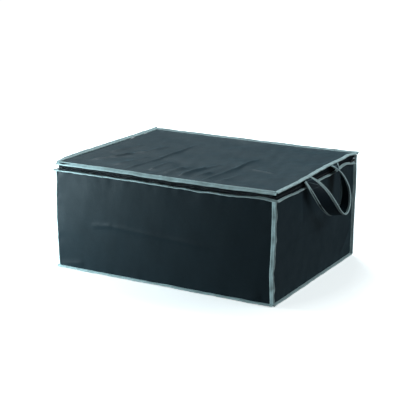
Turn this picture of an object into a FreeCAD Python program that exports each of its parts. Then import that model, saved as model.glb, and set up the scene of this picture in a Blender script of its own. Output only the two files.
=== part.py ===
import FreeCAD, Part
import math
import os

# Zipped fabric storage box that slides under a bed: a shallow soft-sided tray
# with card stiffeners in its base and walls, a zipped lid that folds back on
# its rear seam, bound seams along every edge and a webbing handle at each end.
#
# Frame: millimetres, origin at the centre of the footprint on the floor,
# +X to the right-hand handle, -Y to the front of the box, +Z up.

# ---------------------------------------------------------------- driving sizes
OVERALL_WIDTH = 550.0      # over the lid's bound seams, left to right
OVERALL_DEPTH = 450.0      # over the lid's bound seams, front to back
HEIGHT = 250.0             # floor to the top of the lid's bound seams

FABRIC = 1.0               # outer non-woven fabric
BOARD = 2.5                # card stiffener
LINING = 0.8               # inner non-woven fabric

LID_SEAM_PROUD = 7.5       # how far each bound seam stands out of the walls
RIM_SEAM_PROUD = 4.5
BASE_SEAM_PROUD = 3.0
CORNER_SEAM_PROUD = 2.5
CORNER_SEAM_LEG = 8.0      # width of a corner binding on each wall

BASE_SEAM_TOP = 7.0        # levels, from the floor up
BOARD_TOP = 222.0
LINING_TOP = 226.0
RIM_BOTTOM = 222.5
RIM_TOP = 229.0
LOWER_TAPE_TOP = 234.0
LOWER_COIL_TOP = 235.2
UPPER_COIL_BOTTOM = 236.2
UPPER_COIL_TOP = 237.4
LID_SEAM_BOTTOM = 242.0
LID_PANEL_BOTTOM = 246.5
BACK_PANEL_TOP = 246.0
HINGE_SEAM_BOTTOM = 240.5

MOVING_GAP = 0.6           # kept between the lid and the box
COIL_PROUD = 0.6           # the zip coil stands this far out of its tape
COIL_REAR_END = 203.0      # the coil stops here, in front of the parked slider

SLIDER_CENTRE_Y = 210.1    # slider parked at the closed end, right-hand side
SLIDER_LENGTH = 11.0
SLIDER_HEIGHT = 11.0
SLIDER_NOSE = 7.0          # height of the plates at the slider's rear end
SLIDER_PLATE = 1.0
SLIDER_OUTER_FACE = 2.6    # plate faces, measured out from the wall plane
SLIDER_INNER_FACE = -3.6
SLIDER_WEB = 0.4           # web between the two rows of coil
SLIDER_WEB_LENGTH = 6.0
TAB_AXIS_OUT = 4.0         # pull tab's pivot, measured out from the wall plane
TAB_PIN_R = 0.5
TAB_EYE_R = 1.2
TAB_EYE_BORE_R = 0.6
TAB_THICKNESS = 1.0
TAB_NECK = 3.4
TAB_NECK_LENGTH = 2.2
TAB_WIDTH = 5.5
TAB_LENGTH = 24.0
EAR_GAP = 4.0              # between the two ears that hold the tab's pin
EAR_THICKNESS = 1.0
STOP_LENGTH = 1.2          # metal end stops of the zip
STOP_HEIGHT = 5.0

STRAP_THICKNESS = 1.3
STRAP_EDGE = 3.5           # width of an edge binding
STRAP_EDGE_THICKNESS = 2.2
STRAP_SECTIONS = 14
# The strap hangs flat from the lid's seam and turns edge-on to the wall at the
# bottom of its loop. Each long edge is one smooth curve, from the front end to
# the rear end: control points are (out from the wall, y, z).
STRAP_INNER_EDGE = [(7, -90, 240), (39, -54, 180), (8, 35, 116), (35, 56, 118), (30, 103, 193), (7, 98, 240)]
STRAP_OUTER_EDGE = [(7, -50, 240), (93, -18, 207), (51, -7, 105), (67, 80, 122), (73, 72, 241), (7, 58, 240)]

# ---------------------------------------------------------------- derived sizes
HALF_W = OVERALL_WIDTH / 2 - LID_SEAM_PROUD      # outer faces of the side walls
HALF_D = OVERALL_DEPTH / 2 - LID_SEAM_PROUD      # outer faces of front and back
BOARD_INSET = FABRIC
LINING_INSET = FABRIC + BOARD
COIL_MID = (LOWER_COIL_TOP + UPPER_COIL_BOTTOM) / 2
SIDES = ("front", "back", "left", "right")


def block(low, high):
    """Axis-aligned box between two corners."""
    size = [b - a for a, b in zip(low, high)]
    return Part.makeBox(*size, FreeCAD.Vector(*low))


def save(shape, node):
    """Write one sub-part to its own file."""
    shape.exportStep("parts/" + node + ".step")


# ---------------------------------------------------------------- walls and base
def wall_layer(side, inset, thickness, z_low, z_high):
    """One flat sheet of a wall; side walls run full depth, front and back fit between."""
    sign = 1 if side in ("right", "back") else -1
    if side in ("left", "right"):
        outer = HALF_W - inset
        near, far = sorted((sign * outer, sign * (outer - thickness)))
        run = HALF_D - inset
        return block((near, -run, z_low), (far, run, z_high))
    outer = HALF_D - inset
    near, far = sorted((sign * outer, sign * (outer - thickness)))
    run = HALF_W - inset - thickness
    return block((-run, near, z_low), (run, far, z_high))


def base_layer(inset, z_low, thickness):
    """One flat sheet of the base."""
    x, y = HALF_W - inset, HALF_D - inset
    return block((-x, -y, z_low), (x, y, z_low + thickness))


def make_walls_and_base():
    board_low = FABRIC + BOARD
    lining_low = board_low + LINING
    for side in SIDES:
        panel_top = BACK_PANEL_TOP if side == "back" else RIM_TOP
        save(wall_layer(side, 0, FABRIC, FABRIC, panel_top), side + "_panel")
        save(wall_layer(side, BOARD_INSET, BOARD, board_low, BOARD_TOP), side + "_board")
        save(wall_layer(side, LINING_INSET, LINING, lining_low, LINING_TOP), side + "_lining")
    save(base_layer(0, 0, FABRIC), "base_panel")
    save(base_layer(BOARD_INSET, FABRIC, BOARD), "base_board")
    save(base_layer(LINING_INSET, board_low, LINING), "base_lining")


# ---------------------------------------------------------------- lid
def make_lid():
    """Flat lid fabric and its lining; both stop short of the rear seam."""
    panel_low = (-HALF_W, -HALF_D, LID_PANEL_BOTTOM)
    panel_high = (HALF_W, HALF_D - MOVING_GAP, LID_PANEL_BOTTOM + FABRIC)
    save(block(panel_low, panel_high), "lid_panel")
    lining_x = HALF_W - FABRIC
    lining_low = (-lining_x, FABRIC - HALF_D, LID_PANEL_BOTTOM - LINING)
    lining_high = (lining_x, HALF_D - FABRIC - MOVING_GAP, LID_PANEL_BOTTOM)
    save(block(lining_low, lining_high), "lid_lining")


# ---------------------------------------------------------------- bound seams
def seam_bar(side, proud, z_low, z_high, rear_end):
    """Straight bound seam outside one wall; front and back bars take the corners."""
    sign = 1 if side in ("right", "back") else -1
    if side in ("left", "right"):
        near, far = sorted((sign * HALF_W, sign * (HALF_W + proud)))
        return block((near, -HALF_D, z_low), (far, rear_end, z_high))
    near, far = sorted((sign * HALF_D, sign * (HALF_D + proud)))
    reach = HALF_W + proud
    return block((-reach, near, z_low), (reach, far, z_high))


def corner_binding(x_sign, y_sign, z_top, back_leg_top):
    """L-section tape folded round one upright corner."""
    outer_x, outer_y = HALF_W + CORNER_SEAM_PROUD, HALF_D + CORNER_SEAM_PROUD
    legs = []
    x_near, x_far = sorted((x_sign * (HALF_W - CORNER_SEAM_LEG), x_sign * outer_x))
    y_near, y_far = sorted((y_sign * HALF_D, y_sign * outer_y))
    legs.append(block((x_near, y_near, BASE_SEAM_TOP), (x_far, y_far, back_leg_top)))
    x_near, x_far = sorted((x_sign * HALF_W, x_sign * outer_x))
    y_near, y_far = sorted((y_sign * (HALF_D - CORNER_SEAM_LEG), y_sign * HALF_D))
    legs.append(block((x_near, y_near, BASE_SEAM_TOP), (x_far, y_far, z_top)))
    return legs[0].fuse(legs[1]).removeSplitter()


def make_seams():
    for side in SIDES:
        save(seam_bar(side, BASE_SEAM_PROUD, 0, BASE_SEAM_TOP, HALF_D), side + "_base_binding")
    for side in ("front", "left", "right"):
        rim = seam_bar(side, RIM_SEAM_PROUD, RIM_BOTTOM, RIM_TOP, HALF_D)
        save(rim, side + "_rim_binding")
        lid = seam_bar(side, LID_SEAM_PROUD, LID_SEAM_BOTTOM, HEIGHT, HALF_D - MOVING_GAP)
        save(lid, side + "_lid_binding")
    save(seam_bar("back", LID_SEAM_PROUD, HINGE_SEAM_BOTTOM, HEIGHT, HALF_D), "hinge_binding")
    for x_sign, x_name in ((-1, "left"), (1, "right")):
        front = corner_binding(x_sign, -1, RIM_BOTTOM, RIM_BOTTOM)
        save(front, "front_" + x_name + "_corner_binding")
        back = corner_binding(x_sign, 1, RIM_BOTTOM, HINGE_SEAM_BOTTOM)
        save(back, "back_" + x_name + "_corner_binding")


# ---------------------------------------------------------------- zip
def zip_band(z_low, z_high, out, inward, rear_end):
    """Three strips in the wall planes: across the front and back along both sides."""
    front_x = HALF_W + out
    strips = [block((-front_x, -HALF_D - out, z_low), (front_x, inward - HALF_D, z_high))]
    for sign in (-1, 1):
        near, far = sorted((sign * (HALF_W + out), sign * (HALF_W - inward)))
        strips.append(block((near, inward - HALF_D, z_low), (far, rear_end, z_high)))
    return Part.makeCompound(strips)


def end_stops():
    """Metal crimp at each rear end of the lower tape."""
    z_low = RIM_TOP + (LOWER_TAPE_TOP - RIM_TOP - STOP_HEIGHT) / 2
    stops = []
    for sign in (-1, 1):
        near, far = sorted((sign * HALF_W, sign * (HALF_W + COIL_PROUD)))
        rear = HALF_D - COIL_PROUD
        stops.append(block((near, rear - STOP_LENGTH, z_low), (far, rear, z_low + STOP_HEIGHT)))
    return Part.makeCompound(stops)


def slider_plate(face_out):
    """Tapered plate of the slider: tall at the opening end, low at the closed end."""
    front, rear = SLIDER_CENTRE_Y - SLIDER_LENGTH / 2, SLIDER_CENTRE_Y + SLIDER_LENGTH / 2
    shoulder = SLIDER_LENGTH / 3
    tall, low = SLIDER_HEIGHT / 2, SLIDER_NOSE / 2
    outline = [(front, -low), (front + shoulder / 2, -tall), (front + shoulder, -tall), (rear, -low),
               (rear, low), (front + shoulder, tall), (front + shoulder / 2, tall), (front, low)]
    x = HALF_W + face_out
    points = [FreeCAD.Vector(x, y, COIL_MID + z) for y, z in outline]
    face = Part.Face(Part.makePolygon(points + points[:1]))
    return face.extrude(FreeCAD.Vector(SLIDER_PLATE, 0, 0))


def zip_slider():
    """Two plates joined by a web between the coils, with ears and a pin for the tab."""
    outer = slider_plate(SLIDER_OUTER_FACE - SLIDER_PLATE)
    inner = slider_plate(SLIDER_INNER_FACE)
    web_y = SLIDER_WEB_LENGTH / 2
    web = block((HALF_W + SLIDER_INNER_FACE, SLIDER_CENTRE_Y - web_y, COIL_MID - SLIDER_WEB / 2),
                (HALF_W + SLIDER_OUTER_FACE, SLIDER_CENTRE_Y + web_y, COIL_MID + SLIDER_WEB / 2))
    pieces = [inner, web]
    ear_y = TAB_EYE_R
    for sign in (-1, 1):
        z_near, z_far = sorted((COIL_MID + sign * EAR_GAP / 2,
                                COIL_MID + sign * (EAR_GAP / 2 + EAR_THICKNESS)))
        low = (HALF_W + SLIDER_OUTER_FACE, SLIDER_CENTRE_Y - ear_y, z_near)
        high = (HALF_W + TAB_AXIS_OUT + 2 * TAB_PIN_R, SLIDER_CENTRE_Y + ear_y, z_far)
        pieces.append(block(low, high))
    pin_low = FreeCAD.Vector(HALF_W + TAB_AXIS_OUT, SLIDER_CENTRE_Y, COIL_MID - EAR_GAP / 2)
    pieces.append(Part.makeCylinder(TAB_PIN_R, EAR_GAP, pin_low))
    return outer.fuse(pieces).removeSplitter()


def pull_tab():
    """Flat tab with an eye round the slider's pin, lying forward along the zip."""
    axis_x = HALF_W + TAB_AXIS_OUT
    eye_low = FreeCAD.Vector(axis_x, SLIDER_CENTRE_Y, COIL_MID - TAB_NECK / 2)
    eye = Part.makeCylinder(TAB_EYE_R, TAB_NECK, eye_low)
    x_low, x_high = axis_x - TAB_THICKNESS / 2, axis_x + TAB_THICKNESS / 2
    neck_end = SLIDER_CENTRE_Y - TAB_NECK_LENGTH
    neck = block((x_low, neck_end, COIL_MID - TAB_NECK / 2),
                 (x_high, SLIDER_CENTRE_Y, COIL_MID + TAB_NECK / 2))
    blade = block((x_low, SLIDER_CENTRE_Y - TAB_LENGTH, COIL_MID - TAB_WIDTH / 2),
                  (x_high, neck_end, COIL_MID + TAB_WIDTH / 2))
    corners = [edge for edge in blade.Edges
               if abs(edge.Vertexes[0].X - edge.Vertexes[-1].X) > TAB_THICKNESS / 2
               and edge.CenterOfMass.y < neck_end - TAB_WIDTH]
    blade = blade.makeFillet(TAB_WIDTH / 3, corners)
    bore = Part.makeCylinder(TAB_EYE_BORE_R, TAB_NECK, eye_low)
    return eye.fuse([neck, blade]).cut(bore).removeSplitter()


def make_zip():
    lid_rear = HALF_D - FABRIC - MOVING_GAP
    coil_in = FABRIC + COIL_PROUD
    save(zip_band(RIM_TOP, LOWER_TAPE_TOP, 0, FABRIC, HALF_D), "lower_zip_tape")
    save(zip_band(LOWER_TAPE_TOP, LOWER_COIL_TOP, COIL_PROUD, coil_in, COIL_REAR_END),
         "lower_zip_coil")
    save(zip_band(UPPER_COIL_BOTTOM, UPPER_COIL_TOP, COIL_PROUD, coil_in, COIL_REAR_END),
         "upper_zip_coil")
    save(zip_band(UPPER_COIL_TOP, LID_PANEL_BOTTOM - LINING, 0, FABRIC, lid_rear),
         "upper_zip_tape")
    save(end_stops(), "zip_end_stops")
    save(zip_slider(), "zip_slider")
    save(pull_tab(), "pull_tab")


# ---------------------------------------------------------------- handles
def curve_point(points, t):
    """Point at t, from 0 to 1, on the smooth curve that the control points pull."""
    last = len(points) - 1
    weights = [math.comb(last, i) * t ** i * (1 - t) ** (last - i) for i in range(last + 1)]
    return FreeCAD.Vector(*[sum(w * p[axis] for w, p in zip(weights, points)) for axis in range(3)])


def strap_frame(t):
    """Points on the strap's inner and outer edges at t, and its face normal there."""
    inner = curve_point(STRAP_INNER_EDGE, t)
    outer = curve_point(STRAP_OUTER_EDGE, t)
    middle = [[(a + b) / 2 for a, b in zip(p, q)] for p, q in zip(STRAP_INNER_EDGE, STRAP_OUTER_EDGE)]
    steps = [[b - a for a, b in zip(p, q)] for p, q in zip(middle, middle[1:])]
    normal = curve_point(steps, t).cross(outer - inner).normalize()
    from_wall = FreeCAD.Vector(HALF_W, 0, 0)
    return inner + from_wall, outer + from_wall, normal


def strap_solid(inner_offset, outer_offset, thickness):
    """Ruled solid along the whole loop, set in from the strap's two edges."""
    sections = []
    for i in range(STRAP_SECTIONS + 1):
        inner, outer, normal = strap_frame(i / STRAP_SECTIONS)
        width = outer - inner
        across = FreeCAD.Vector(width).normalize()
        low, high = inner + across * inner_offset, inner + across * (width.Length - outer_offset)
        lift = normal * (thickness / 2)
        points = [low - lift, high - lift, high + lift, low + lift]
        sections.append(Part.makePolygon(points + points[:1]))
    return Part.makeLoft(sections, True, True)


def strap_edge(which):
    """Binding tape folded over one long edge of the strap."""
    sections = []
    for i in range(STRAP_SECTIONS + 1):
        inner, outer, normal = strap_frame(i / STRAP_SECTIONS)
        edge, into = (inner, outer - inner) if which == "inner" else (outer, inner - outer)
        into.normalize()
        lift = normal * (STRAP_EDGE_THICKNESS / 2)
        points = [edge - lift, edge + into * STRAP_EDGE - lift, edge + into * STRAP_EDGE + lift, edge + lift]
        sections.append(Part.makePolygon(points + points[:1]))
    return Part.makeLoft(sections, True, True)


def make_handles():
    pieces = {
        "strap": strap_solid(STRAP_EDGE, STRAP_EDGE, STRAP_THICKNESS),
        "inner_edge_binding": strap_edge("inner"),
        "outer_edge_binding": strap_edge("outer"),
    }
    for name, shape in pieces.items():
        save(shape, "right_handle_" + name)
        mirrored = shape.mirror(FreeCAD.Vector(0, 0, 0), FreeCAD.Vector(1, 0, 0))
        save(mirrored, "left_handle_" + name)


os.makedirs("parts", exist_ok=True)
make_walls_and_base()
make_lid()
make_seams()
make_zip()
make_handles()
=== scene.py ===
import math
import bpy
import numpy as np
from mathutils import Matrix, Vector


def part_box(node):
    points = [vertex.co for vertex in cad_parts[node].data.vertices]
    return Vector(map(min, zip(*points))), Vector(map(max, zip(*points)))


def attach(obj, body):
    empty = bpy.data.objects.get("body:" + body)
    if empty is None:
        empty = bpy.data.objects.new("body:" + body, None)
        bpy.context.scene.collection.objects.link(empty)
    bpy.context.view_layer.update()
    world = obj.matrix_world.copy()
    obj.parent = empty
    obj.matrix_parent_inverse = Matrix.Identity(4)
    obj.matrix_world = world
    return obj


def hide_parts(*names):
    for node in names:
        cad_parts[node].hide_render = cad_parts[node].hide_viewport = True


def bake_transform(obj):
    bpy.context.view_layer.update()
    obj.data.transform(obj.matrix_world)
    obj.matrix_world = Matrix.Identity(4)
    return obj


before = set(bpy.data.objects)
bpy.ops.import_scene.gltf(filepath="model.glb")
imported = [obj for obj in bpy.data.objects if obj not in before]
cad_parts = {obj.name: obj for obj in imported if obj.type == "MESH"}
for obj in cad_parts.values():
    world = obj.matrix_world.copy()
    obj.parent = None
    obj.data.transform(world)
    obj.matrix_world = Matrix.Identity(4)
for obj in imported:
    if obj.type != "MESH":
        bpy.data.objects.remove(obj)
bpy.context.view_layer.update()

# ------------------------------------------------------------------------------ studio
# A white floor, a soft light close by the box's left front corner, a large one high
# behind it on the left, a weak one on the right and a little light from all round.
# The camera stands right of the front, above the lid, and looks down a long lens.

SEEN_FROM = math.radians(28.33)
SEEN_ABOVE = math.radians(14.62)
CAMERA_ROLL = math.radians(0.84)
CAMERA_AWAY = 2.85
LENS_MM = 110.8
LOOKED_AT = np.array([-0.016, -0.018, 0.149])


def facing(direction):
    """Rotation that points an object's -Z along a direction, with its Y upwards."""
    back = -np.array(direction, float) / np.linalg.norm(direction)
    right = np.cross([0.0, 0.0, 1.0], back)
    right /= np.linalg.norm(right)
    up = np.cross(back, right)
    return np.column_stack([right, up, back])


def stand(obj, place, aim, roll=0.0):
    """Put an object at a place, pointing at another."""
    turn = Matrix([list(row) for row in facing(np.array(aim) - np.array(place))])
    turn = turn @ Matrix.Rotation(roll, 3, "Z")
    obj.location = place
    obj.rotation_euler = turn.to_euler()
    bpy.context.scene.collection.objects.link(obj)


camera_data = bpy.data.cameras.new("camera")
camera_data.lens = LENS_MM
camera_data.sensor_width = 36.0
camera_data.clip_end = 100.0
camera = bpy.data.objects.new("camera", camera_data)
away = np.array([math.sin(SEEN_FROM) * math.cos(SEEN_ABOVE),
                 -math.cos(SEEN_FROM) * math.cos(SEEN_ABOVE),
                 math.sin(SEEN_ABOVE)]) * CAMERA_AWAY
stand(camera, LOOKED_AT + away, LOOKED_AT, CAMERA_ROLL)
bpy.context.scene.camera = camera
bpy.context.scene.view_settings.view_transform = "Standard"


def soft_light(name, place, aim, width, height, watts, colour):
    """A rectangular soft box that the camera doesn't see."""
    lamp = bpy.data.lights.new(name, "AREA")
    lamp.shape = "RECTANGLE"
    lamp.size = width
    lamp.size_y = height
    lamp.energy = watts
    lamp.color = colour
    made = bpy.data.objects.new(name, lamp)
    stand(made, place, aim)
    made.visible_camera = False


soft_light("left_strip_light", (-0.62, -0.50, 0.16), (-0.15, -0.22, 0.13), 0.20, 0.28, 7.0,
           (0.80, 1.0, 1.06))
soft_light("overhead_light", (-1.3, 1.2, 2.3), (0.0, 0.0, 0.2), 1.5, 1.1, 70.0, (0.85, 1.0, 1.05))
soft_light("right_fill_light", (1.5, 0.1, 0.9), (0.25, 0.0, 0.15), 1.0, 1.0, 10.0, (0.93, 1.0, 1.03))

world = bpy.data.worlds.new("studio_air")
bpy.context.scene.world = world
world.use_nodes = True
world.node_tree.nodes["Background"].inputs["Color"].default_value = (0.93, 0.97, 1.0, 1.0)
world.node_tree.nodes["Background"].inputs["Strength"].default_value = 0.11

FLOOR_HALF = 30.0
# the floor glows less near the box, so that the box's soft shadow shows on it
SHADE_RADII = (0.34, 0.52)
FLOOR_GLOW = (0.60, 1.0)
floor_mesh = bpy.data.meshes.new("studio_floor")
floor_mesh.from_pydata([(-FLOOR_HALF, -FLOOR_HALF, 0), (FLOOR_HALF, -FLOOR_HALF, 0),
                        (FLOOR_HALF, FLOOR_HALF, 0), (-FLOOR_HALF, FLOOR_HALF, 0)], [], [(0, 1, 2, 3)])
studio_floor = bpy.data.objects.new("studio_floor", floor_mesh)
studio_floor.location.z = -0.0005
bpy.context.scene.collection.objects.link(studio_floor)
studio_floor.visible_diffuse = False
studio_floor.visible_glossy = False
floor_paint = bpy.data.materials.new("white_floor")
floor_paint.use_nodes = True
floor_shader = floor_paint.node_tree.nodes["Principled BSDF"]
floor_shader.inputs["Base Color"].default_value = (0.86, 0.9, 0.92, 1.0)
floor_shader.inputs["Roughness"].default_value = 0.9
floor_shader.inputs["Specular IOR Level"].default_value = 0.0
floor_shader.inputs["Emission Color"].default_value = (0.95, 1.0, 1.0, 1.0)
floor_place = floor_paint.node_tree.nodes.new("ShaderNodeTexCoord")
floor_reach = floor_paint.node_tree.nodes.new("ShaderNodeVectorMath")
floor_reach.operation = "LENGTH"
floor_glow = floor_paint.node_tree.nodes.new("ShaderNodeMapRange")
floor_glow.inputs["From Min"].default_value = SHADE_RADII[0]
floor_glow.inputs["From Max"].default_value = SHADE_RADII[1]
floor_glow.inputs["To Min"].default_value = FLOOR_GLOW[0]
floor_glow.inputs["To Max"].default_value = FLOOR_GLOW[1]
floor_paint.node_tree.links.new(floor_place.outputs["Object"], floor_reach.inputs[0])
floor_paint.node_tree.links.new(floor_reach.outputs["Value"], floor_glow.inputs["Value"])
floor_paint.node_tree.links.new(floor_glow.outputs["Result"], floor_shader.inputs["Emission Strength"])
floor_mesh.materials.append(floor_paint)

# ------------------------------------------------------------------------------ outer panels
# Slate spunbond cloth, embossed with fine dots. Each wall and the base is one flat
# sheet stretched over its card with a little slack: it crowns between its seams,
# puckers beside them, and keeps the fold marks from when the box was packed flat.

SLATE = (0.0150, 0.0225, 0.0275)
DOT_EVERY = 0.0013


def start_material(name):
    """A new material with its node tree and shader."""
    made = bpy.data.materials.new(name)
    made.use_nodes = True
    tree = made.node_tree
    return made, tree, tree.nodes["Principled BSDF"]


def noise_at(tree, coords, size, detail=3.0, rough=0.6):
    """Fractal noise whose blotches are about that many metres across."""
    node = tree.nodes.new("ShaderNodeTexNoise")
    node.inputs["Scale"].default_value = 1.0 / size
    node.inputs["Detail"].default_value = detail
    node.inputs["Roughness"].default_value = rough
    tree.links.new(coords, node.inputs["Vector"])
    return node.outputs["Fac"]


def spread(tree, value, low, high):
    """Stretch a 0.3 to 0.7 noise value over low to high."""
    node = tree.nodes.new("ShaderNodeMapRange")
    node.inputs["From Min"].default_value = 0.3
    node.inputs["From Max"].default_value = 0.7
    node.inputs["To Min"].default_value = low
    node.inputs["To Max"].default_value = high
    tree.links.new(value, node.inputs["Value"])
    return node.outputs["Result"]


def tint(tree, shader, colour, shade):
    """Multiply a colour by a shade value and give it to the shader."""
    node = tree.nodes.new("ShaderNodeVectorMath")
    node.operation = "SCALE"
    node.inputs[0].default_value = colour
    tree.links.new(shade, node.inputs["Scale"])
    tree.links.new(node.outputs["Vector"], shader.inputs["Base Color"])


def relief(tree, shader, height, depth, under=None):
    """Bump of that many metres, on top of another one if given."""
    node = tree.nodes.new("ShaderNodeBump")
    node.inputs["Distance"].default_value = depth
    tree.links.new(height, node.inputs["Height"])
    if under is not None:
        tree.links.new(under, node.inputs["Normal"])
    tree.links.new(node.outputs["Normal"], shader.inputs["Normal"])
    return node.outputs["Normal"]


def spunbond_cloth(name, colour, roughness=0.46):
    """Embossed non-woven cloth: mottled colour, fibres and rows of small dots."""
    made, tree, shader = start_material(name)
    place = tree.nodes.new("ShaderNodeTexCoord").outputs["Object"]
    mottle = noise_at(tree, place, 0.045, 4.0)
    fibres = noise_at(tree, place, 0.0016, 3.0, 0.7)
    both = tree.nodes.new("ShaderNodeMath")
    both.operation = "MULTIPLY"
    tree.links.new(spread(tree, mottle, 0.88, 1.10), both.inputs[0])
    tree.links.new(spread(tree, fibres, 0.86, 1.14), both.inputs[1])
    tint(tree, shader, colour, both.outputs["Value"])
    dots = tree.nodes.new("ShaderNodeTexVoronoi")
    dots.inputs["Scale"].default_value = 1.0 / DOT_EVERY
    dots.inputs["Randomness"].default_value = 0.25
    tree.links.new(place, dots.inputs["Vector"])
    pressed = relief(tree, shader, dots.outputs["Distance"], 0.00012)
    relief(tree, shader, fibres, 0.00015, pressed)
    tree.links.new(spread(tree, mottle, roughness + 0.08, roughness - 0.06), shader.inputs["Roughness"])
    shader.inputs["Specular IOR Level"].default_value = 0.08
    shader.inputs["Sheen Weight"].default_value = 0.122
    shader.inputs["Sheen Roughness"].default_value = 0.5
    shader.inputs["Sheen Tint"].default_value = (0.32, 0.78, 1.0, 1.0)
    return made


slate_cloth = spunbond_cloth("slate_spunbond", SLATE)


def add_piece(name, points, faces, material, body, uv=None):
    """A mesh piece with its material, riding on a body."""
    mesh = bpy.data.meshes.new(name)
    mesh.from_pydata([tuple(p) for p in points], [], [tuple(int(i) for i in f) for f in faces])
    if uv is not None:
        layer = mesh.uv_layers.new(name="UVMap")
        corners = np.empty(len(mesh.loops), dtype=np.int32)
        mesh.loops.foreach_get("vertex_index", corners)
        layer.data.foreach_set("uv", np.asarray(uv, dtype=np.float32)[corners].ravel())
    mesh.polygons.foreach_set("use_smooth", np.full(len(mesh.polygons), True))
    mesh.materials.append(material)
    made = bpy.data.objects.new(name, mesh)
    bpy.context.scene.collection.objects.link(made)
    if body:
        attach(made, body)
    return made


def cloth(name, grid, thickness, material, body):
    """A closed thin sheet about a grid of points; its outer face is the one that
    the first direction crossed with the second points out of."""
    across, along = np.gradient(grid, axis=0), np.gradient(grid, axis=1)
    normal = np.cross(across, along)
    normal /= np.linalg.norm(normal, axis=2, keepdims=True) + 1e-12
    rows, columns = grid.shape[:2]
    outer = (grid + normal * thickness / 2).reshape(-1, 3)
    inner = (grid - normal * thickness / 2).reshape(-1, 3)
    run = np.linalg.norm(np.diff(grid, axis=0), axis=2).mean(axis=1)
    rise = np.linalg.norm(np.diff(grid, axis=1), axis=2).mean(axis=0)
    u = np.repeat(np.concatenate([[0], np.cumsum(run)]), columns)
    v = np.tile(np.concatenate([[0], np.cumsum(rise)]), rows)
    uv = np.column_stack([u, v])
    index = np.arange(rows * columns).reshape(rows, columns)
    a, b, c, d = index[:-1, :-1], index[1:, :-1], index[1:, 1:], index[:-1, 1:]
    top = np.stack([a, b, c, d], axis=-1).reshape(-1, 4)
    under = top[:, ::-1] + rows * columns
    loop = np.concatenate([index[:, 0], index[-1, 1:], index[-2::-1, -1], index[0, -2:0:-1]])
    following = np.roll(loop, -1)
    rim = np.stack([following, loop, loop + rows * columns, following + rows * columns], axis=-1)
    return add_piece(name, np.vstack([outer, inner]), np.vstack([top, under, rim]),
                     material, body, np.vstack([uv, uv]))


def ripple(x, y, size, seed, waves=7):
    """Smooth irregular unevenness, about -1 to 1, with bumps of that size."""
    chance = np.random.RandomState(seed)
    total = np.zeros_like(x + y)
    for _ in range(waves):
        heading = chance.uniform(0, 2 * math.pi)
        length = size * chance.uniform(1.2, 3.0)
        total += np.sin(2 * math.pi * (x * math.cos(heading) + y * math.sin(heading)) / length
                        + chance.uniform(0, 2 * math.pi))
    return total / math.sqrt(waves)


def crease(x, y, start, end, width, height):
    """A pressed fold from start to end: a sharp ridge that fades out at both ends."""
    (ax, ay), (bx, by) = start, end
    length = math.hypot(bx - ax, by - ay)
    along = ((x - ax) * (bx - ax) + (y - ay) * (by - ay)) / length ** 2
    off = ((x - ax) * (by - ay) - (y - ay) * (bx - ax)) / length
    fade = np.clip(np.minimum(along, 1 - along) * 6 + 0.3, 0, 1)
    return height * fade * np.exp(-np.sqrt(off ** 2 + (width / 5) ** 2) / width)


def bump(value, centre, width):
    """A smooth rise to 1 about a centre."""
    return np.exp(-((value - centre) / width) ** 2)


def hills(value, shapes):
    """The sum of several rises and dips: the height, centre and width of each."""
    return sum(height * bump(value, centre, width) for height, centre, width in shapes)


# the rim's waves: the side ones dip at both ends of the slider's run, to clear it
RIM_WAVES_FRONT = [(-0.0012, 0.08, 0.08), (0.0052, 0.240, 0.032)]
RIM_WAVES_SIDE = [(0.0075, 0.148, 0.045), (-0.0022, 0.212, 0.020),
                  (-0.0030, -0.11, 0.05), (-0.0006, -0.208, 0.012)]
# the left side waves less than the right, and both give way to the front's waves past here
LEFT_RIM_SHARE = 0.4
SIDES_END_Y = -0.2135


def rim_lift(x, y):
    """How far the rim of the box stands above or below its straight line."""
    side = hills(y, RIM_WAVES_SIDE)
    at_side = np.clip((np.abs(x) - 0.24) / 0.026, 0, 1)
    at_front = np.clip((SIDES_END_Y - y) / 0.004, 0, 1)
    side_part = at_side * (1 - at_front) * np.where(x > 0, side, LEFT_RIM_SHARE * side)
    return at_front * hills(x, RIM_WAVES_FRONT) + side_part


CORNER_PULL = 0.0115


def corner_spread(x, y, up):
    """The front left corner isn't square: how far it is pulled out to the left, which is
    most over its upper half. Up is the share of the wall's height."""
    along_front = np.clip((-x - 0.12) / 0.15, 0, 1) ** 2
    along_side = np.clip((0.05 - y) / 0.27, 0, 1)
    return -CORNER_PULL * along_front * along_side * np.clip(0.5 + up, 0, 1)


WALL_GRID = 0.0035
half_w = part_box("right_panel")[1][0]
half_d = -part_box("front_panel")[0][1]
cloth_thick = 0.0010
rim_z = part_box("front_panel")[1][2]
FOLD_HEIGHT = 0.112


def wall_grid(side, low_z, top_z, step, inset=0.0):
    """Points of a wall, left to right as seen from outside, and their run and height."""
    half_run = (half_d if side in ("left", "right") else half_w) - inset
    s = np.linspace(-half_run, half_run, int(2 * half_run / step) + 1)
    z = np.linspace(low_z, top_z, int((top_z - low_z) / step) + 1)
    run, height = np.meshgrid(s, z, indexing="ij")
    flat = np.zeros_like(run)
    if side == "front":
        return np.stack([run, flat - half_d + inset, height], axis=-1), run, height
    if side == "back":
        return np.stack([-run, flat + half_d - inset, height], axis=-1), run, height
    if side == "right":
        return np.stack([flat + half_w - inset, run, height], axis=-1), run, height
    return np.stack([flat - half_w + inset, -run, height], axis=-1), run, height


OUTWARD = {"front": (0, -1, 0), "back": (0, 1, 0), "right": (1, 0, 0), "left": (-1, 0, 0)}
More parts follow.
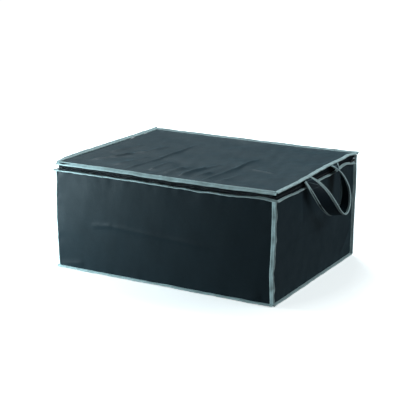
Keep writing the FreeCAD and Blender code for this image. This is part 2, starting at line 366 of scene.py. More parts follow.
# each fold of a wall: where it starts and ends along and up it, its width and its height
WALL_FOLDS = {
    "front": [((-0.180, FOLD_HEIGHT), (-0.130, FOLD_HEIGHT + 0.006), 0.003, 0.0016),
              ((-0.142, FOLD_HEIGHT + 0.006), (0.118, FOLD_HEIGHT - 0.006), 0.0034, 0.0021),
              ((-0.262, 0.008), (-0.205, 0.018), 0.006, 0.0022),
              ((0.190, 0.006), (0.240, 0.016), 0.006, 0.0020)],
    "right": [((-0.078, 0.215), (-0.070, 0.150), 0.010, -0.0030),
              ((0.150, 0.020), (0.212, 0.075), 0.008, 0.0022)],
    "left": [((-0.19, 0.03), (-0.10, 0.19), 0.010, 0.0020)],
    "back": [],
}
WALL_SEEDS = {"front": 3, "back": 11, "left": 23, "right": 31}


def wall_shape(side, run, height, top_z):
    """How far a wall's cloth stands out from its flat plane."""
    half_run = np.abs(run).max()
    u = run / half_run
    v = 2 * height / top_z - 1
    crown = 0.0022 * (1 - u ** 2) * (1 - v ** 4)
    seed = WALL_SEEDS[side]
    slack = 0.00035 * ripple(run, height, 0.07, seed) + 0.00006 * ripple(run, height, 0.018, seed + 1)
    by_side_seam = np.exp(-(1 - np.abs(u)) * half_run / 0.012)
    by_level_seam = np.exp(-(1 - np.abs(v)) * top_z / 2 / 0.010)
    pucker = 0.0007 * (by_side_seam * ripple(height, run * 0.1, 0.016, seed + 2)
                       + by_level_seam * ripple(run, height * 0.1, 0.018, seed + 3))
    edge = np.clip((1 - np.maximum(np.abs(u), np.abs(v))) * 18, 0, 1)
    folds = sum((crease(run, height, *fold) for fold in WALL_FOLDS[side]), np.zeros_like(run))
    if side != "front":
        folds += crease(run, height, (-0.6 * half_run, FOLD_HEIGHT + 0.004),
                        (0.5 * half_run, FOLD_HEIGHT - 0.003), 0.005, 0.0012)
    return (crown + slack + folds) * edge + pucker * np.clip(edge * 4, 0, 1)


def place_wall(side):
    """One wall's outer cloth, shaped and pulled to the rim's line."""
    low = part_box(side + "_panel")[0][2]
    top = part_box(side + "_panel")[1][2]
    grid, run, height = wall_grid(side, low, top, WALL_GRID, cloth_thick / 2)
    out = wall_shape(side, run, height, top)
    grid = grid + out[..., None] * np.array(OUTWARD[side])
    if side != "back":
        grid[..., 2] += rim_lift(grid[..., 0], grid[..., 1]) * np.clip(height / top, 0, 1) ** 6
    grid[..., 0] += corner_spread(grid[..., 0], grid[..., 1], height / top)
    panel = cloth(side + "_cloth", grid, cloth_thick, slate_cloth, "box")
    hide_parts(side + "_panel")


for wall in ("front", "back", "left", "right"):
    place_wall(wall)

BASE_THICK = 0.0008
# the middle of the base cloth stays this far above the floor, and waves by this much
BASE_CLEAR = 0.00055
BASE_WAVE = 0.00025
base_low, base_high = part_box("base_panel")
base_x = np.linspace(base_low[0], base_high[0], 60)
base_y = np.linspace(base_low[1], base_high[1], 50)
base_x, base_y = np.meshgrid(base_x, base_y, indexing="ij")
base_z = BASE_CLEAR + BASE_WAVE * (1 + ripple(base_x, base_y, 0.09, 41)) * 0.5
base_cloth = cloth("base_cloth", np.stack([base_x, base_y, base_z], axis=-1)[:, ::-1], BASE_THICK,
                   slate_cloth, "box")
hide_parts("base_panel")

# ------------------------------------------------------------------------------ stiffeners
# Grey pressed card, one sheet to each wall and one to the base, slipped between
# the outer cloth and the lining. Nothing of it shows unless a seam is opened.

card, card_tree, card_shader = start_material("pressed_card")
card_place = card_tree.nodes.new("ShaderNodeTexCoord").outputs["Object"]
card_pulp = noise_at(card_tree, card_place, 0.004, 6.0, 0.75)
tint(card_tree, card_shader, (0.30, 0.27, 0.23), spread(card_tree, card_pulp, 0.75, 1.2))
relief(card_tree, card_shader, card_pulp, 0.0002)
card_shader.inputs["Roughness"].default_value = 0.9
for side in ("front", "back", "left", "right", "base"):
    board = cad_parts[side + "_board"]
    board.data.materials.clear()
    board.data.materials.append(card)

# ------------------------------------------------------------------------------ lining
# Thinner spunbond cloth inside, sewn into the same seams and left slack over the
# card, so it stands off it in shallow waves.

lining_cloth = spunbond_cloth("lining_spunbond", (0.040, 0.052, 0.060), 0.6)
LINING_THICK = 0.0006
LINING_GRID = 0.008
# how far the wall linings lie inside the outer cloth
LINING_INSET = 0.0043
for number, side in enumerate(("front", "back", "left", "right")):
    low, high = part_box(side + "_lining")
    grid, run, height = wall_grid(side, low[2], high[2] + 0.002, LINING_GRID, LINING_INSET)
    u, v = run / np.abs(run).max(), 2 * (height - low[2]) / (high[2] - low[2]) - 1
    slack = 0.0012 + 0.0010 * ripple(run, height, 0.05, 60 + number)
    slack = np.clip(slack * (1 - u ** 6) * (1 - np.abs(v) ** 6), 0, 0.004)
    grid = grid - slack[..., None] * np.array(OUTWARD[side])
    lining = cloth(side + "_inside_cloth", grid, LINING_THICK, lining_cloth, "box")
    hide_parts(side + "_lining")
floor_low, floor_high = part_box("base_lining")
floor_x, floor_y = np.meshgrid(np.linspace(floor_low[0], floor_high[0], 66),
                               np.linspace(floor_low[1], floor_high[1], 54), indexing="ij")
floor_z = floor_low[2] + 0.0006 + 0.0008 * (1 + ripple(floor_x, floor_y, 0.06, 71)) * 0.5
inside_floor = cloth("base_inside_cloth", np.stack([floor_x, floor_y, floor_z], axis=-1), LINING_THICK,
                     lining_cloth, "box")
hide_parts("base_lining")

# ------------------------------------------------------------------------------ upright corners
# Where two walls meet, their edges are turned out together and bound in grey-green
# ribbed tape, folded double and run through with one line of stitching. The bound
# edge stands out as a soft fin that wanders and is pinched by the thread.

TAPE = (0.43, 0.58, 0.59)
STITCH_EVERY = 0.0036
STITCH_LONG = 0.0027
STITCH_R = 0.00034
# the rings of one stitch: where along it, how wide, and how far out of the tape
STITCH_RINGS = [(-0.5, 0.35, -0.5), (-0.28, 1.0, 0.25), (0.28, 1.0, 0.25), (0.5, 0.35, -0.5)]
STITCH_SIDES = 5
# half thickness of the folded tape from its free edges at the wall out to its fold
FIN_PROFILE = [(0.0, 0.0009), (0.10, 0.0013), (0.30, 0.0013), (0.46, 0.0008), (0.60, 0.0012),
               (0.80, 0.0016), (0.94, 0.0012), (1.0, 0.0004)]
STITCH_AT = 0.46
FIN_STEP = 0.003


def ribbed_tape(name, colour):
    """Binding tape: fine ribs across its length, a little worn and uneven."""
    made, tree, shader = start_material(name)
    coords = tree.nodes.new("ShaderNodeTexCoord")
    wear = noise_at(tree, coords.outputs["Object"], 0.014, 4.0)
    ribs = tree.nodes.new("ShaderNodeTexWave")
    ribs.bands_direction = "X"
    ribs.inputs["Scale"].default_value = 0.314 / 0.0008
    ribs.inputs["Distortion"].default_value = 0.6
    tree.links.new(coords.outputs["UV"], ribs.inputs["Vector"])
    shade = tree.nodes.new("ShaderNodeMath")
    shade.operation = "MULTIPLY"
    tree.links.new(spread(tree, wear, 0.80, 1.15), shade.inputs[0])
    tree.links.new(spread(tree, ribs.outputs["Fac"], 0.93, 1.04), shade.inputs[1])
    tint(tree, shader, colour, shade.outputs["Value"])
    relief(tree, shader, ribs.outputs["Fac"], 0.00012)
    tree.links.new(spread(tree, wear, 0.52, 0.38), shader.inputs["Roughness"])
    shader.inputs["Specular IOR Level"].default_value = 0.4
    shader.inputs["Sheen Weight"].default_value = 0.08
    return made


seam_tape = ribbed_tape("grey_green_tape", TAPE)
thread, thread_tree, thread_shader = start_material("seam_thread")
thread_twist = noise_at(thread_tree, thread_tree.nodes.new("ShaderNodeTexCoord").outputs["Object"], 0.0008)
tint(thread_tree, thread_shader, (0.24, 0.36, 0.38), spread(thread_tree, thread_twist, 0.8, 1.15))
relief(thread_tree, thread_shader, thread_twist, 0.0001)
thread_shader.inputs["Roughness"].default_value = 0.5


def unit(vectors):
    return vectors / (np.linalg.norm(vectors, axis=-1, keepdims=True) + 1e-12)


def even_line(points, step):
    """Points spaced evenly along a bent line."""
    points = np.asarray(points, float)
    reach = np.concatenate([[0], np.cumsum(np.linalg.norm(np.diff(points, axis=0), axis=1))])
    wanted = np.linspace(0, reach[-1], max(2, int(reach[-1] / step) + 1))
    return np.column_stack([np.interp(wanted, reach, points[:, k]) for k in range(3)])


def sew(name, lines, body):
    """A row of short raised stitches along each line of (points, outward normals)."""
    points, faces = [], []
    around = np.arange(STITCH_SIDES) * 2 * math.pi / STITCH_SIDES
    for line, outward in lines:
        reach = np.concatenate([[0], np.cumsum(np.linalg.norm(np.diff(line, axis=0), axis=1))])
        for at in np.arange(STITCH_EVERY / 2, reach[-1] - STITCH_EVERY / 2, STITCH_EVERY):
            spot = np.array([np.interp(at, reach, line[:, k]) for k in range(3)])
            ahead = np.array([np.interp(at + STITCH_EVERY / 4, reach, line[:, k]) for k in range(3)])
            lift = unit(np.array([np.interp(at, reach, outward[:, k]) for k in range(3)]))
            run = unit(ahead - spot)
            aside = unit(np.cross(run, lift))
            first = len(points)
            for shift, size, rise in STITCH_RINGS:
                centre = spot + run * shift * STITCH_LONG + lift * rise * STITCH_R
                for turn in around:
                    ring = aside * math.cos(turn) + lift * math.sin(turn)
                    points.append(centre + ring * STITCH_R * size)
            for ring in range(len(STITCH_RINGS) - 1):
                start = first + ring * STITCH_SIDES
                for k in range(STITCH_SIDES):
                    p, q = start + k, start + (k + 1) % STITCH_SIDES
                    faces.append((p, q, q + STITCH_SIDES, p + STITCH_SIDES))
    return add_piece(name, points, faces, thread, body)


def bound_seam(name, line, lean, width, body, seed, node=None, wander=0.0004, swing=0.10, full=1.0,
               square=False):
    """A fin of folded tape rooted along a line and leaning one way. Its root wanders, it
    swings about its lean, and full scales its thickness; a square one isn't pulled out
    with the front left corner. Returns the fin and its two lines of stitching."""
    line = even_line(line, FIN_STEP)
    count = len(line)
    reach = np.linspace(0, 1, count) * np.linalg.norm(np.diff(line, axis=0), axis=1).sum()
    along = unit(np.gradient(line, axis=0))
    if not square:
        line[:, 0] += corner_spread(line[:, 0], line[:, 1], line[:, 2] / rim_z)
    lean = np.asarray(lean, float)
    if lean.ndim > 1:
        place = np.linspace(0, 1, len(lean))
        lean = np.column_stack([np.interp(np.linspace(0, 1, count), place, lean[:, k]) for k in range(3)])
    lean = unit(lean - along * (lean * along).sum(axis=-1, keepdims=True))
    face = np.cross(along, lean)
    zero = np.zeros(count)
    turn = swing * ripple(reach, zero, 0.022, seed) + 0.4 * swing * ripple(reach, zero, 0.008, seed + 1)
    lean, face = (lean * np.cos(turn)[:, None] + face * np.sin(turn)[:, None],
                  face * np.cos(turn)[:, None] - lean * np.sin(turn)[:, None])
    wide = width * (1 + 0.035 * ripple(reach, zero, 0.04, seed + 2))
    thick = full * (1 + 0.12 * ripple(reach, zero, 0.012, seed + 3))
    root = line + face * (wander * ripple(reach, zero, 0.03, seed + 4))[:, None]
    section = FIN_PROFILE + [(s, -h) for s, h in FIN_PROFILE[::-1]]
    rings = [root + lean * (wide * s)[:, None] + face * (thick * h)[:, None] for s, h in section]
    rings = np.stack(rings, axis=1)
    ring = len(section)
    index = np.arange(count * ring).reshape(count, ring)
    following = np.roll(index, -1, axis=1)
    sides = np.stack([index[:-1], following[:-1], following[1:], index[1:]], axis=-1).reshape(-1, 4)
    girth = np.array([s * width if h > 0 else (2 - s) * width for s, h in section])
    uv = np.column_stack([np.repeat(reach, ring), np.tile(girth, count)])
    faces = [tuple(f) for f in sides] + [tuple(index[0]), tuple(index[-1][::-1])]
    fin = add_piece(name, rings.reshape(-1, 3), faces, seam_tape, body, uv)
    if node:
        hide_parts(node)
    seat = np.interp(STITCH_AT, [s for s, _ in FIN_PROFILE], [h for _, h in FIN_PROFILE])
    middle = root + lean * (wide * STITCH_AT)[:, None]
    out = face * (thick * seat)[:, None]
    return fin, [(middle + out, face), (middle - out, -face)]


corner_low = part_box("front_right_corner_binding")[0][2] - 0.004
corner_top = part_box("front_right_corner_binding")[1][2] + 0.004
back_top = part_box("hinge_binding")[0][2] + 0.005
corner_rows = []
# each bound corner: its sides, which way its fin lies (the front left one lies back along
# the left wall, the others stand out to the side), its width, and how far in it is rooted
for number, (node, x_sign, y_sign, lies, wide, pulled) in enumerate((
        ("front_right", 1, -1, (0.98, -0.12, 0), 0.0115, 0.0064),
        ("front_left", -1, -1, (-0.26, 0.96, 0), 0.0085, 0.0010),
        ("back_right", 1, 1, (0.98, 0.2, 0), 0.0085, 0.0010),
        ("back_left", -1, 1, (0.9, 0.35, 0), 0.0085, 0.0010))):
    front_top = corner_top + float(rim_lift(x_sign * half_w, -half_d))
    heights = np.linspace(corner_low, front_top if y_sign < 0 else back_top, 40)
    sway = 0.0006 * ripple(heights, np.zeros(40), 0.05, 100 + number)
    post = np.column_stack([x_sign * (half_w - pulled + sway),
                            np.full(40, y_sign * (half_d + 0.0006)), heights])
    _, rows = bound_seam(node + "_corner_tape", post, lies, wide, "box", 110 + 10 * number,
                         node + "_corner_binding", swing=0.12)
    corner_rows += rows
sew("corner_stitching", corner_rows, "box")

# ------------------------------------------------------------------------------ base edges
# The same bound seam round the foot of the box. It splays outwards and is pressed
# down by the box's weight, so it just clears the floor along most of its length.

BASE_DROOP = (0, 0, -0.28)
BASE_TAPE_WIDE = 0.0068
FOOT_Z = 0.0042
base_rows = []
for number, (side, start, end) in enumerate((
        ("front", (-half_w - 0.002, -half_d, FOOT_Z), (half_w + 0.002, -half_d, FOOT_Z)),
        ("right", (half_w, -half_d - 0.001, FOOT_Z), (half_w, half_d + 0.001, FOOT_Z)),
        ("back", (half_w + 0.002, half_d, FOOT_Z), (-half_w - 0.002, half_d, FOOT_Z)),
        ("left", (-half_w, half_d + 0.001, FOOT_Z), (-half_w, -half_d - 0.001, FOOT_Z)))):
    lean = np.array(OUTWARD[side], float) + BASE_DROOP
    _, rows = bound_seam(side + "_base_tape", [start, end], lean, BASE_TAPE_WIDE, "box", 160 + 10 * number,
                         side + "_base_binding", wander=0.0003)
    base_rows += rows
sew("base_stitching", base_rows, "box")

# ------------------------------------------------------------------------------ rim
# The wall cloth and the lower zip tape are bound together round the rim, on the
# front and both sides. The fin stands nearly straight out, and leans down near
# the corners.

# how the rim's fin tilts: a little down all along, and more in places
RIM_TILT_FRONT = [(-0.75, 0.255, 0.030), (-0.15, -0.262, 0.08)]
RIM_TILT_SIDE = [(-0.9, 0.17, 0.07), (-0.6, -0.208, 0.03)]
RIM_TAPE_WIDE = {"front": 0.0074, "right": 0.0064, "left": 0.0064}
rim_root = rim_z + 0.0008
rim_rows = []


def rim_line(side):
    """The line where the rim's fin is rooted, and the way it leans along it."""
    count = 60
    if side == "front":
        x = np.linspace(-half_w - 0.003, half_w + 0.003, count)
        y = np.full(count, -half_d)
        tilt = -0.12 + hills(x, RIM_TILT_FRONT)
    else:
        sign = 1 if side == "right" else -1
        y = np.linspace(-half_d, half_d - 0.002, count) * sign
        x = np.full(count, sign * half_w)
        tilt = -0.10 + hills(y * sign, RIM_TILT_SIDE)
    z = rim_root + rim_lift(x, y)
    out = np.array(OUTWARD[side], float)
    return np.column_stack([x, y, z]), out + np.column_stack([0 * x, 0 * x, tilt])


for number, side in enumerate(("front", "right", "left")):
    line, lean = rim_line(side)
    _, rows = bound_seam(side + "_rim_tape", line, lean, RIM_TAPE_WIDE[side], "box", 210 + 10 * number,
                         side + "_rim_binding", swing=0.07)
    rim_rows += rows
sew("rim_stitching", rim_rows, "box")

# ------------------------------------------------------------------------------ zip
# Black twill tape in two halves, the lower one sewn to the rim and the upper one to
# the lid, each with a coil of nylon along its free edge. The turns of one coil sit
# between the turns of the other while the zip is closed.

ZIP_BLACK = (0.0025, 0.0060, 0.0095)
ZIP_TAPE_THICK = 0.0007
ZIP_INSET = 0.0005
ZIP_STEP = 0.004
ZIP_CORNER_R = 0.006
TURN_EVERY = 0.0018
COIL_HALF = 0.0011
NYLON_R = (0.00032, 0.00036)
NYLON_SIDES = 5
zip_cloth, zip_tree, zip_shader = start_material("zip_twill")
zip_coords = zip_tree.nodes.new("ShaderNodeTexCoord")
twill = zip_tree.nodes.new("ShaderNodeTexWave")
twill.bands_direction = "DIAGONAL"
twill.inputs["Scale"].default_value = 0.314 / 0.0011
twill.inputs["Distortion"].default_value = 1.0
zip_tree.links.new(zip_coords.outputs["UV"], twill.inputs["Vector"])
tint(zip_tree, zip_shader, ZIP_BLACK, spread(zip_tree, twill.outputs["Fac"], 0.7, 1.5))
relief(zip_tree, zip_shader, twill.outputs["Fac"], 0.00015)
zip_shader.inputs["Roughness"].default_value = 0.75
zip_shader.inputs["Specular IOR Level"].default_value = 0.15
nylon, nylon_tree, nylon_shader = start_material("nylon_coil")
nylon_grain = noise_at(nylon_tree, nylon_tree.nodes.new("ShaderNodeTexCoord").outputs["Object"], 0.002)
tint(nylon_tree, nylon_shader, (0.010, 0.016, 0.022), spread(nylon_tree, nylon_grain, 0.8, 1.3))
nylon_tree.links.new(spread(nylon_tree, nylon_grain, 0.30, 0.42), nylon_shader.inputs["Roughness"])

coil_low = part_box("lower_zip_coil")[0][2]
coil_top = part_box("upper_zip_coil")[1][2]
coil_mid = (coil_low + coil_top) / 2
lid_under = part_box("lid_panel")[0][2]
coil_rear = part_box("lower_zip_coil")[1][1]
lid_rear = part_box("lid_panel")[1][1]


def zip_bulge(x, y):
    """How far the closed zip is pushed outwards, most at the front left corner."""
    return 0.0004 + 0.0055 * np.clip((-x - 0.20) / 0.06, 0, 1) * np.clip((0.1 - y) / 0.2, 0, 1)


def zip_run(rear):
    """The line of the zip seen from above: forward along the left, across, back along the right."""
    x, y, turn = half_w - ZIP_INSET, half_d - ZIP_INSET, ZIP_CORNER_R
    bend = [(math.cos(a), math.sin(a)) for a in np.linspace(0, math.pi / 2, 6)]
    left = [(-x + turn - turn * c, -y + turn - turn * s, 0) for c, s in bend]
    right = [(x - turn + turn * s, -y + turn - turn * c, 0) for c, s in bend]
    run = even_line([(-x, rear, 0)] + left + right + [(x, rear, 0)], ZIP_STEP)
    out = unit(np.column_stack([-np.gradient(run[:, 1]), np.gradient(run[:, 0])]))
    run[:, :2] -= out * zip_bulge(run[:, 0], run[:, 1])[:, None]
    return run


def zip_tape(name, run, edge_z, sewn_z, body, node):
    """Tape between its sewn edge and the edge that carries the coil."""
    share = np.linspace(0, 1, 5)
    hangs_below = sewn_z[0] < edge_z
    z = edge_z + (sewn_z - edge_z)[:, None] * share
    inward = unit(np.column_stack([-np.gradient(run[:, 1]), np.gradient(run[:, 0]), 0 * run[:, 0]]))
    belly = 0.0018 * share ** 4 if hangs_below else -0.0006 * np.sin(math.pi * share)
    grid = run[:, None, :] + inward[:, None, :] * belly[None, :, None]
    grid = np.stack([grid[..., 0], grid[..., 1], z], axis=-1)
    if hangs_below:
        grid = grid[:, ::-1]
    tape = cloth(name, grid, ZIP_TAPE_THICK, zip_cloth, body)
    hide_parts(node)
    return tape


def coil_turns(name, run, z_tape, z_tip, phase, body, node):
    """Nylon loops standing off the tape's edge, one after another along the zip."""
    reach = np.concatenate([[0], np.cumsum(np.linalg.norm(np.diff(run, axis=0), axis=1))])
    spots = np.arange(TURN_EVERY * (0.5 + phase), reach[-1], TURN_EVERY)
    out = unit(np.column_stack([np.gradient(run[:, 1]), -np.gradient(run[:, 0]), 0 * run[:, 0]]))
    loops = np.linspace(-0.15, 1.15, 8) * math.pi
    points, faces = [], []
    for at in spots:
        centre = np.array([np.interp(at, reach, run[:, k]) for k in range(3)])
        side = unit(np.array([np.interp(at, reach, out[:, k]) for k in range(3)]))
        ahead = np.array([-side[1], side[0], 0.0])
        first = len(points)
        for step, turn in enumerate(loops):
            across, rise = math.cos(turn), math.sin(turn)
            middle = centre + side * across * COIL_HALF + ahead * (step - 3.5) * 0.00006
            middle = middle + np.array([0, 0, z_tape + (z_tip - z_tape) * rise])
            spoke = unit(side * across + np.array([0, 0, math.copysign(1, z_tip - z_tape) * rise]))
            for k in range(NYLON_SIDES):
                ring = k * 2 * math.pi / NYLON_SIDES
                skin = spoke * math.cos(ring) * NYLON_R[0] + ahead * math.sin(ring) * NYLON_R[1]
                points.append(middle + skin)
        for step in range(len(loops) - 1):
            start = first + step * NYLON_SIDES
            for k in range(NYLON_SIDES):
                p, q = start + k, start + (k + 1) % NYLON_SIDES
                faces.append((p, q, q + NYLON_SIDES, p + NYLON_SIDES))
    coil = add_piece(name, points, faces, nylon, body)
    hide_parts(node)
    return coil


lower_run = zip_run(half_d - 0.0008)
lower_z = rim_root - 0.0040 + rim_lift(lower_run[:, 0], lower_run[:, 1])
zip_tape("lower_zip_twill", lower_run, coil_low + 0.0003, lower_z, "box", "lower_zip_tape")
COIL_LAP = 0.0006
coil_turns("lower_coil", zip_run(coil_rear), coil_low, coil_mid + COIL_LAP, 0.0, "box", "lower_zip_coil")

# ------------------------------------------------------------------------------ slider
# The end stops are crimped strips of nickelled metal. The slider is a die casting,
# nickel plated, with two plates, ears and a pin. Its pull tab is moulded in black
# plastic, flat, with rounded corners and an eye round the pin.

nickel, nickel_tree, nickel_shader = start_material("nickel_plate")
nickel_wear = noise_at(nickel_tree, nickel_tree.nodes.new("ShaderNodeTexCoord").outputs["Object"], 0.002, 5.0)
tint(nickel_tree, nickel_shader, (0.82, 0.88, 0.92), spread(nickel_tree, nickel_wear, 0.85, 1.05))
nickel_tree.links.new(spread(nickel_tree, nickel_wear, 0.42, 0.55), nickel_shader.inputs["Roughness"])
nickel_shader.inputs["Metallic"].default_value = 0.6
black_plastic, black_tree, black_shader = start_material("moulded_black")
black_grain = noise_at(black_tree, black_tree.nodes.new("ShaderNodeTexCoord").outputs["Object"], 0.0006)
tint(black_tree, black_shader, (0.014, 0.015, 0.017), spread(black_tree, black_grain, 0.8, 1.2))
relief(black_tree, black_shader, black_grain, 0.00003)
black_tree.links.new(spread(black_tree, black_grain, 0.32, 0.44), black_shader.inputs["Roughness"])
for node, finish in (("zip_end_stops", nickel), ("zip_slider", nickel), ("pull_tab", black_plastic)):
    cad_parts[node].data.materials.clear()
    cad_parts[node].data.materials.append(finish)

# ------------------------------------------------------------------------------ lid
# One sheet of the slate cloth with no card behind it, lined, and sewn to the upper
# zip tape. It sags between its seams and keeps two straight fold marks from front
# to back, with soft drag folds between them near the front edge.

LID_GRID = 0.0028
# how far the cloth's middle hangs, and the height, spacing and centre of its drag folds
LID_SAG = 0.0075
DRAG_HEIGHT = 0.0011
DRAG_EVERY = 0.036
DRAG_AT = (0.02, -0.135)
lid_low, lid_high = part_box("lid_panel")
# each fold of the lid: where it starts and ends, how wide and how high its ridge is
LID_FOLDS = [
    ((-0.106, -0.200), (-0.104, 0.110), 0.0042, 0.0048), ((0.089, -0.205), (0.091, 0.065), 0.0048, 0.0053),
    ((0.120, -0.030), (0.190, -0.055), 0.0045, 0.0020), ((0.022, -0.190), (0.029, -0.080), 0.0060, 0.0048),
    ((0.028, -0.090), (0.043, -0.028), 0.0055, 0.0034), ((-0.064, -0.165), (-0.069, -0.065), 0.0070, 0.0039),
    ((-0.022, -0.185), (-0.010, -0.105), 0.0070, 0.0039), ((0.054, -0.195), (0.063, -0.110), 0.0055, 0.0042),
    ((0.122, -0.190), (0.130, -0.110), 0.0070, 0.0028), ((-0.150, -0.175), (-0.138, -0.050), 0.0080, 0.0031),
    ((-0.222, -0.160), (-0.183, -0.050), 0.0060, 0.0042), ((-0.230, -0.065), (-0.207, 0.045), 0.0060, 0.0036),
    ((-0.170, -0.030), (-0.152, 0.070), 0.0065, 0.0031), ((-0.200, -0.110), (-0.172, 0.000), 0.0065, 0.0034),
]
LID_WAVES_RIGHT = [(0.0062, 0.06, 0.13), (0.0030, 0.17, 0.035), (0.0015, -0.222, 0.05)]
LID_WAVES_FRONT = [(0.0012, -0.13, 0.08), (0.0008, 0.262, 0.06)]


def lid_lift(x, y):
    """How far the lid's edges stand above or below their straight line."""
    at_right = np.clip((x - 0.12) / 0.15, 0, 1)
    at_front = np.clip((-0.12 - y) / 0.10, 0, 1)
    return at_right * hills(y, LID_WAVES_RIGHT) + at_front * (1 - at_right) * hills(x, LID_WAVES_FRONT)


def lid_sag(x, y):
    """The lid cloth's height above its seams."""
    u, v = x / half_w, y / half_d
    free = np.clip((1 - u ** 2) * (1 - v ** 2), 0, 1)
    edge = np.clip(np.minimum(1 - np.abs(u), (1 - np.abs(v)) * half_d / half_w) * 14, 0, 1)
    sag = -LID_SAG * free ** 0.8
    folds = sum(crease(x, y, *fold) for fold in LID_FOLDS)
    drag = bump(x, DRAG_AT[0], 0.11) * bump(y, DRAG_AT[1], 0.085)
    across = x + 0.12 * y + 0.006 * ripple(x, y, 0.09, 7)
    folds += DRAG_HEIGHT * drag * np.sin(2 * math.pi * across / DRAG_EVERY)
    slack = 0.0008 * ripple(x, y, 0.060, 5) + 0.00025 * ripple(x, y, 0.02, 6)
    return sag + (folds + slack) * edge


lid_x = np.linspace(lid_low[0], lid_high[0], int((lid_high[0] - lid_low[0]) / LID_GRID) + 1)
lid_y = np.linspace(lid_low[1], lid_high[1], int((lid_high[1] - lid_low[1]) / LID_GRID) + 1)
lid_x, lid_y = np.meshgrid(lid_x, lid_y, indexing="ij")
lid_z = lid_under + 0.0012 + lid_lift(lid_x, lid_y) + lid_sag(lid_x, lid_y)


def bend_at_rear(piece):
    """Leave a lid piece without a parent, with its place baked into its mesh."""
    piece.parent = None
    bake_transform(piece)


lid_cloth = cloth("lid_cloth", np.stack([lid_x, lid_y, lid_z], axis=-1), cloth_thick, slate_cloth, None)
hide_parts("lid_panel")
bend_at_rear(lid_cloth)

under_low, under_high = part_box("lid_lining")
under_x, under_y = np.meshgrid(np.linspace(under_low[0], under_high[0], 68),
                               np.linspace(under_low[1], under_high[1], 56), indexing="ij")
under_z = lid_under - 0.0008 + lid_lift(under_x, under_y) + lid_sag(under_x, under_y) * 1.12
lid_inside = cloth("lid_inside_cloth", np.stack([under_x, under_y, under_z], axis=-1), LINING_THICK,
                   lining_cloth, None)
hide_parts("lid_lining")
bend_at_rear(lid_inside)

upper_run = zip_run(lid_rear - 0.0012)
upper_z = lid_under + 0.0006 + lid_lift(upper_run[:, 0], upper_run[:, 1])
upper_twill = zip_tape("upper_zip_twill", upper_run, coil_top - 0.0003, upper_z, None, "upper_zip_tape")
bend_at_rear(upper_twill)
coil_turns("upper_coil", zip_run(coil_rear), coil_top, coil_mid - COIL_LAP, 0.5, "lid", "upper_zip_coil")

# ------------------------------------------------------------------------------ lid edges
# The lid cloth, its lining and the zip tape are bound together on three edges. Along
# the front the fin hangs outwards and down over the zip like a small eave. The
# strips are cut square and lapped at the corners.

LID_TAPE_WIDE = {"front": 0.0090, "right": 0.0080, "left": 0.0090}
eave_z = lid_under + 0.0022
lid_rows = []
for number, side in enumerate(("front", "right", "left")):
    count = 70
    if side == "front":
        x = np.linspace(-half_w - 0.0070, half_w + 0.004, count)
        y = np.full(count, -half_d - 0.0008)
        droop = -1.25 + 0.25 * bump(x, 0.25, 0.05)
    else:
        sign = 1 if side == "right" else -1
        y = np.linspace(-half_d - 0.003, half_d - 0.0006, count) * sign
        x = np.full(count, sign * (half_w + 0.0002))
        droop = np.full(count, -0.28) if side == "right" else 0.55 - 0.75 * bump(y, -0.22, 0.03)
    line = np.column_stack([x, y, eave_z + lid_lift(x, y)])
    lean = np.array(OUTWARD[side], float) + np.column_stack([0 * x, 0 * x, droop])
    fin, rows = bound_seam(side + "_lid_tape", line, lean, LID_TAPE_WIDE[side], None, 260 + 10 * number,
                           side + "_lid_binding", swing=0.06, square=True)
    bend_at_rear(fin)
    lid_rows += rows
lid_stitching = sew("lid_stitching", lid_rows, None)
bend_at_rear(lid_stitching)

# ------------------------------------------------------------------------------ rear seam
# Along the back the lid cloth is sewn straight to the top of the back wall, and the
# bound seam is the hinge: its fin stands out behind, and the lid folds over it.

HINGE_LEAN = (0, 0.8, 0.6)
HINGE_TAPE_WIDE = 0.0082
hinge_line = np.column_stack([np.linspace(half_w + 0.009, -half_w - 0.007, 70), np.full(70, half_d - 0.0006),
                              np.full(70, lid_under + 0.0002)])
hinge_line[:, 2] += 0.6 * lid_lift(hinge_line[:, 0], hinge_line[:, 1]) - 0.0006
_, hinge_rows = bound_seam("rear_hinge_tape", hinge_line, HINGE_LEAN, HINGE_TAPE_WIDE, "box", 300,
                           "hinge_binding", swing=0.03)
sew("rear_stitching", hinge_rows, "box")

# ------------------------------------------------------------------------------ handles
# A doubled strap of the dark cloth, bound along both long edges with the same
# tape. Each end lies under the lid's edge, held by a stitched box with one
# diagonal, and the strap twists as it comes round the foot of its loop.

strap_cloth = spunbond_cloth("strap_spunbond", (0.010, 0.016, 0.022), 0.5)
STRAP_FLAT = (0.28, 0.036)
STRAP_THICK = 0.0014
STRAP_TAPE_WIDE = 0.0066
STRAP_TOP = 0.240
# control points of the two long edges, front end to rear end: out from the wall, y, z
STRAP_INNER = [(0.007, -0.090, STRAP_TOP), (0.039, -0.054, 0.180), (0.008, 0.035, 0.116),
               (0.035, 0.056, 0.118), (0.030, 0.103, 0.193), (0.007, 0.098, STRAP_TOP)]
STRAP_OUTER = [(0.007, -0.050, STRAP_TOP), (0.093, -0.018, 0.207), (0.051, -0.007, 0.105),
               (0.067, 0.080, 0.122), (0.073, 0.072, 0.241), (0.007, 0.058, STRAP_TOP)]
# its ends are raised to lie this far under the lid's edge, over this share of the strap
UNDER_EAVE = 0.0045
END_SHARE = 0.22
STRAP_STEPS = 110


def smooth_curve(pull, t):
    """Points on the smooth curve that the control points pull."""
    last = len(pull) - 1
    shares = [math.comb(last, k) * (t ** k * (1 - t) ** (last - k)) for k in range(last + 1)]
    return sum(share[:, None] * np.array(point) for share, point in zip(shares, pull))


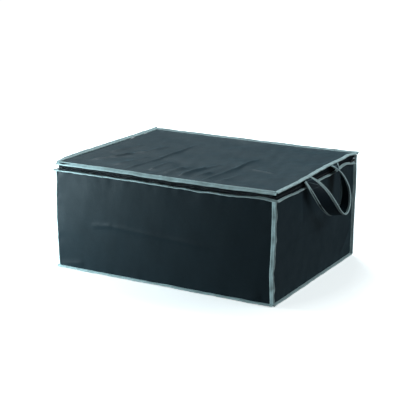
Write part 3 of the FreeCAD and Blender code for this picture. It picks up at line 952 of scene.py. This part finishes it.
def make_handle(name, sign, seed):
    """One strap with its two edge tapes and the stitched boxes at its ends."""
    t = np.linspace(0, 1, STRAP_STEPS)
    inner, outer = smooth_curve(STRAP_INNER, t), smooth_curve(STRAP_OUTER, t)
    near_end = np.clip(1 - np.minimum(t, 1 - t) / END_SHARE, 0, 1) ** 2
    for edge in (inner, outer):
        edge[:, 0] = sign * (half_w + edge[:, 0])
        edge[:, 2] += near_end * (eave_z - UNDER_EAVE - STRAP_TOP + lid_lift(edge[:, 0], edge[:, 1]))
    share = np.linspace(0.05, 0.95, 9)
    grid = inner[:, None, :] + (outer - inner)[:, None, :] * share[None, :, None]
    facing_out = unit(np.cross(np.gradient(grid, axis=0), np.gradient(grid, axis=1)))
    pieces = []
    along, across = t[:, None] * STRAP_FLAT[0], share[None, :] * 0.04
    dish = 0.0005 * np.sin(math.pi * share)[None, :] + 0.0003 * ripple(along, across, 0.03, seed)
    grid = grid + facing_out * dish[..., None]
    body = name + "_handle"
    strap = cloth(name + "_strap_cloth", grid, STRAP_THICK, strap_cloth, None)
    pieces.append(strap)
    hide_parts(body + "_strap")
    rows = []
    for number, (which, edge, other) in enumerate((("inner", inner, outer), ("outer", outer, inner))):
        root = edge + unit(other - edge) * STRAP_TAPE_WIDE
        fin, sewn = bound_seam(f"{name}_{which}_strap_tape", root, edge - other, STRAP_TAPE_WIDE, None,
                               seed + 20 * number, f"{body}_{which}_edge_binding", wander=0.0, swing=0.05,
                               full=1.1, square=True)
        pieces.append(fin)
        rows += sewn
    for at, step in ((0.012, 6), (0.988, -6)):
        spot = int(at * (len(t) - 1))
        corners = [grid[spot, 1], grid[spot, -2], grid[spot + step, -2], grid[spot + step, 1]]
        normal = facing_out[spot, 4]
        outline = even_line([corners[k] for k in (0, 1, 2, 3, 0, 2)], 0.002)
        for face in (normal, -normal):
            rows.append((outline + face * (STRAP_THICK / 2 + 0.0002), np.tile(face, (len(outline), 1))))
    pieces.append(sew(name + "_handle_stitching", rows, None))
    for piece in pieces:
        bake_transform(piece)


make_handle("right", 1, 400)
make_handle("left", -1, 460)
